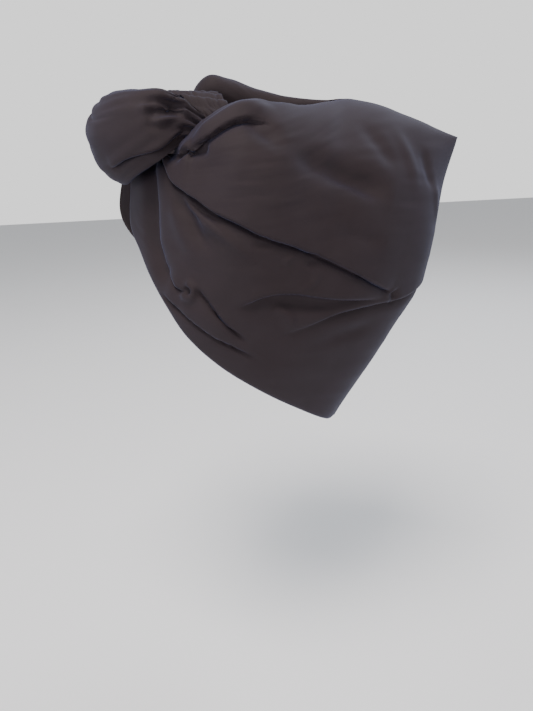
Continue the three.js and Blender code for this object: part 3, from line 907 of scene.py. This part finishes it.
@dataclass
class CrownPanel:
    """The leaf of cloth in the valley over the crown.

    Its table holds the share of the way back, y, the left and right edges, and z.
    """

    name: str = "crown_cloth"
    node: str = "crown_panel"
    rows: Curve = Curve((
        (0.0, -62, 24, -24, 4),
        (0.15, -40, 34, -30, 3.5),
        (0.36, -10, 46, -30, 3),
        (0.6, 22, 36, -27, 3),
        (0.74, 42, 23, -19, 6),
        (0.88, 60, 13, -12, 17),
        (1.0, 76, 7, -7, 25),
    ))
    pleats: int = 3
    pleat_depth: float = 1.6
    rumple: Rumple = Rumple(0.5, 18, 40, 5)
    span: tuple[float, float] = (70, 140)
    flat: tuple[float, float] = (0.065, 0.14)
    rests_on: tuple[str, ...] = ("left_panel", "right_panel")
    piece: bpy.types.Object | None = field(default=None, init=False)

    def surface(self, u: Array, v: Array) -> Array:
        """The leaf from right (u = 0) to left and from front (v = 0) to back."""
        row = self.rows(v)
        x = row[..., 2] + (row[..., 1] - row[..., 2]) * u
        edge = smooth(0, 0.2, u) * smooth(0, 0.2, 1 - u)
        fan = 2 * math.pi * self.pleats * (u - 0.5) + 1.5 * np.sin(3 * v + 4 * u)
        z = row[..., 3] + self.pleat_depth * np.cos(fan) * edge
        return np.stack([x, row[..., 0], z], axis=-1)

    def build(self, cotton: bpy.types.Material) -> None:
        """Makes the leaf and dresses it."""
        u, v = np.meshgrid(np.linspace(0, 1, 91), np.linspace(0, 1, 111), indexing="ij")
        grid = ClothGrid(self.surface(u, v), u, v, self.span)
        grid.lift(self.rumple(u * self.span[0], v * self.span[1]))
        self.piece = cloth_piece(self.name, grid)
        self.piece.data.materials.append(cotton)
        declare(self.piece, self.node)


@dataclass
class TuckedEnd:
    """The pleated end behind the knot, tucked under the near roll and the far one.

    Its pleats are counted from the near gather to the far edge, and slant is how far
    they lean from front to back, in pleats.
    """

    name: str = "tucked_cloth"
    node: str = "tucked_end"
    front: Curve = Curve((
        (0.0, 35, -31, 18),
        (0.3, 25, -46, 34),
        (0.62, 4, -57, 41),
        (0.8, -10, -58, 42),
        (1.0, -20, -49, 29),
    ))
    back: Curve = Curve((
        (0.0, 36, -13, 21),
        (0.3, 25, -17, 32),
        (0.62, 4, -19, 39),
        (0.8, -8, -17, 38),
        (1.0, -14, -9, 24),
    ))
    pleats: float = 4.4
    slant: float = 0.5
    pleat_depth: float = 1.5
    rumple: Rumple = Rumple(0.3, 30, 14, 9)
    span: tuple[float, float] = (80, 45)
    flat: tuple[float, float] = (0.08, 0.045)
    rests_on: tuple[str, ...] = ("left_panel", "right_panel")
    piece: bpy.types.Object | None = field(default=None, init=False)

    def surface(self, u: Array, v: Array) -> Array:
        """The end from its near gather (u = 0) and from front (v = 0) to back."""
        points = (1 - v[..., None]) * self.front(u) + v[..., None] * self.back(u)
        width = smooth(-0.1, 0.4, u) * (1 - 0.4 * smooth(0.7, 1, u))
        wave = self.pleats * u + self.slant * v
        points[..., 2] -= self.pleat_depth * width * np.cos(2 * math.pi * wave)
        return points

    def build(self, cotton: bpy.types.Material) -> None:
        """Makes the end and dresses it."""
        u, v = np.meshgrid(np.linspace(0, 1, 111), np.linspace(0, 1, 101), indexing="ij")
        grid = ClothGrid(self.surface(u, v), u, v, self.span)
        grid.lift(self.rumple(u * self.span[0], v * self.span[1]))
        self.piece = cloth_piece(self.name, grid)
        self.piece.data.materials.append(cotton)
        declare(self.piece, self.node)


# ---------------------------------------------------------------- studio


@dataclass
class Studio:
    """Pale floor, soft light and the camera.

    The eye is in metres, and the camera's heading, pitch and roll are in degrees.
    """

    eye: tuple[float, float, float] = (0.4459, -0.0682, -0.0170)
    heading: float = 80.0
    pitch: float = 18.9
    roll: float = -2.3
    lens: float = 27.04
    floor_z: float = -0.453
    floor_size: float = 6
    floor_tone: float = 0.88
    low_sky: tuple[float, float, float] = (1, 1, 1)
    high_sky: tuple[float, float, float] = (0.28, 0.29, 0.31)
    sky_strength: float = 1.3
    middle: tuple[float, float, float] = (0, 0.03, -0.08)
    hollow: tuple[float, float, float] = (0, -0.03, -0.08)

    def build(self) -> None:
        """Sets up the floor, the lights, the backdrop and the camera."""
        self.floor()
        self.lights()
        self.camera()

    def floor(self) -> None:
        """A wide pale floor well below the wrap."""
        bm = bmesh.new()
        bmesh.ops.create_grid(bm, x_segments=1, y_segments=1, size=self.floor_size)
        bmesh.ops.translate(bm, verts=bm.verts, vec=(0, 0, self.floor_z))
        mesh = bpy.data.meshes.new("floor")
        bm.to_mesh(mesh)
        bm.free()
        floor = bpy.data.objects.new("floor", mesh)
        bpy.context.scene.collection.objects.link(floor)
        paint = bpy.data.materials.new("pale_floor")
        paint.use_nodes = True
        shader = paint.node_tree.nodes["Principled BSDF"]
        shader.inputs["Base Color"].default_value = (*[self.floor_tone] * 3, 1)
        shader.inputs["Roughness"].default_value = 0.9
        mesh.materials.append(paint)

    def lights(self) -> None:
        """A backdrop that is bright low down, three large soft lamps and a faint inner glow."""
        world = bpy.data.worlds.new("studio")
        bpy.context.scene.world = world
        world.use_nodes = True
        nodes = world.node_tree.nodes
        links = world.node_tree.links
        way = nodes.new("ShaderNodeTexCoord")
        split = nodes.new("ShaderNodeSeparateXYZ")
        links.new(way.outputs["Generated"], split.inputs["Vector"])
        fall = nodes.new("ShaderNodeValToRGB")
        fall.color_ramp.elements[0].position = 0.30
        fall.color_ramp.elements[0].color = (*self.low_sky, 1)
        fall.color_ramp.elements[1].position = 0.55
        fall.color_ramp.elements[1].color = (*self.high_sky, 1)
        links.new(split.outputs["Z"], fall.inputs["Fac"])
        links.new(fall.outputs["Color"], nodes["Background"].inputs["Color"])
        nodes["Background"].inputs["Strength"].default_value = self.sky_strength
        self.lamp("key", (0.55, -0.35, 1.6), 0.8, 40, (1.0, 0.93, 0.89))
        self.lamp("fill", (1.5, -1.3, 0.0), 1.0, 17, (0.70, 0.80, 1.0))
        self.lamp("rim", (-0.9, 1.2, 1.2), 0.8, 16, (0.86, 0.91, 1.0))
        self.bounce()

    def lamp(
        self,
        name: str,
        place: tuple[float, float, float],
        size: float,
        power: float,
        tint: tuple[float, float, float],
    ) -> None:
        """A square lamp that faces the wrap.

        Args:
            name: the lamp's name.
            place: where it stands, in metres.
            size: its side, in metres.
            power: its power in watts.
            tint: the colour of its light.
        """
        data = bpy.data.lights.new(name, "AREA")
        data.size = size
        data.energy = power
        data.color = tint
        lamp = bpy.data.objects.new(name, data)
        aim = Vector(self.middle) - Vector(place)
        lamp.rotation_euler = aim.to_track_quat("-Z", "Y").to_euler()
        lamp.location = place
        bpy.context.scene.collection.objects.link(lamp)

    def bounce(self) -> None:
        """A faint glow inside the hollow, as the wearer's head would give back."""
        data = bpy.data.lights.new("bounce", "POINT")
        data.energy = 0.22
        data.shadow_soft_size = 0.04
        data.color = (1.0, 0.97, 0.92)
        lamp = bpy.data.objects.new("bounce", data)
        lamp.location = self.hollow
        lamp.visible_camera = False
        bpy.context.scene.collection.objects.link(lamp)

    def camera(self) -> None:
        """The camera, a little below the top of the wrap and looking down at it."""
        turn, tilt, lean = (math.radians(t) for t in (self.heading, self.pitch, self.roll))
        level = Vector((-math.sin(turn), math.cos(turn), 0))
        forward = level * math.cos(tilt) + Vector((0, 0, -math.sin(tilt)))
        right = level.cross(Vector((0, 0, 1)))
        up = right.cross(forward)
        side = right * math.cos(lean) + up * math.sin(lean)
        top = up * math.cos(lean) - right * math.sin(lean)
        data = bpy.data.cameras.new("camera")
        data.lens = self.lens
        camera = bpy.data.objects.new("camera", data)
        turned = Matrix((side, top, -forward)).transposed().to_4x4()
        turned.translation = Vector(self.eye)
        camera.matrix_world = turned
        bpy.context.scene.collection.objects.link(camera)
        bpy.context.scene.camera = camera


# ---------------------------------------------------------------- assembly


@dataclass
class TurbanHeadwrap:
    """The whole wrap, piece by piece."""

    left: SidePanel
    right: SidePanel
    crown: CrownPanel
    over_loop: KnotLoop
    under_loop: KnotLoop
    tucked: TuckedEnd

    @classmethod
    def standard(cls) -> "TurbanHeadwrap":
        """The wrap with its usual sizes."""
        waves = (Rumple(0.22, 70, 34, 3), Rumple(0.08, 26, 14, 4))
        return cls(
            left=SidePanel(
                "left_cloth", "left_panel", LEFT_RAILS, LEFT_FOLDS, LEFT_GUIDES, waves, (0.27, 0.28)
            ),
            right=SidePanel(
                "right_cloth", "right_panel", RIGHT_RAILS, RIGHT_FOLDS, RIGHT_GUIDES, waves, (0.27, 0.29),
                mirrored=True,
            ),
            crown=CrownPanel(),
            over_loop=KnotLoop(
                "over_cloth", "knot_over_loop", OVER_SECTIONS, OVER_FOLDS, 7, 0.9,
                Rumple(0.3, 40, 16, 6), (0.18, 0.1),
            ),
            under_loop=KnotLoop(
                "under_cloth", "knot_under_loop", UNDER_SECTIONS, UNDER_FOLDS, 7, 1.2,
                Rumple(0.2, 40, 16, 7), (0.09, 0.055), turn=1.0, across=120, around=80,
            ),
            tucked=TuckedEnd(),
        )

    def build(self) -> None:
        """Makes every piece in order, each hiding the solid that it stands for."""
        cotton = BlackCotton().material()
        for part in (self.left, self.right, self.crown, self.over_loop, self.under_loop, self.tucked):
            part.build(cotton)
            LOG.info("made %s", part.piece.name)


def main() -> None:
    """Builds the studio and the wrap."""
    logging.basicConfig(level=logging.INFO)
    Studio().build()
    TurbanHeadwrap.standard().build()


if __name__ == "__main__":
    main()
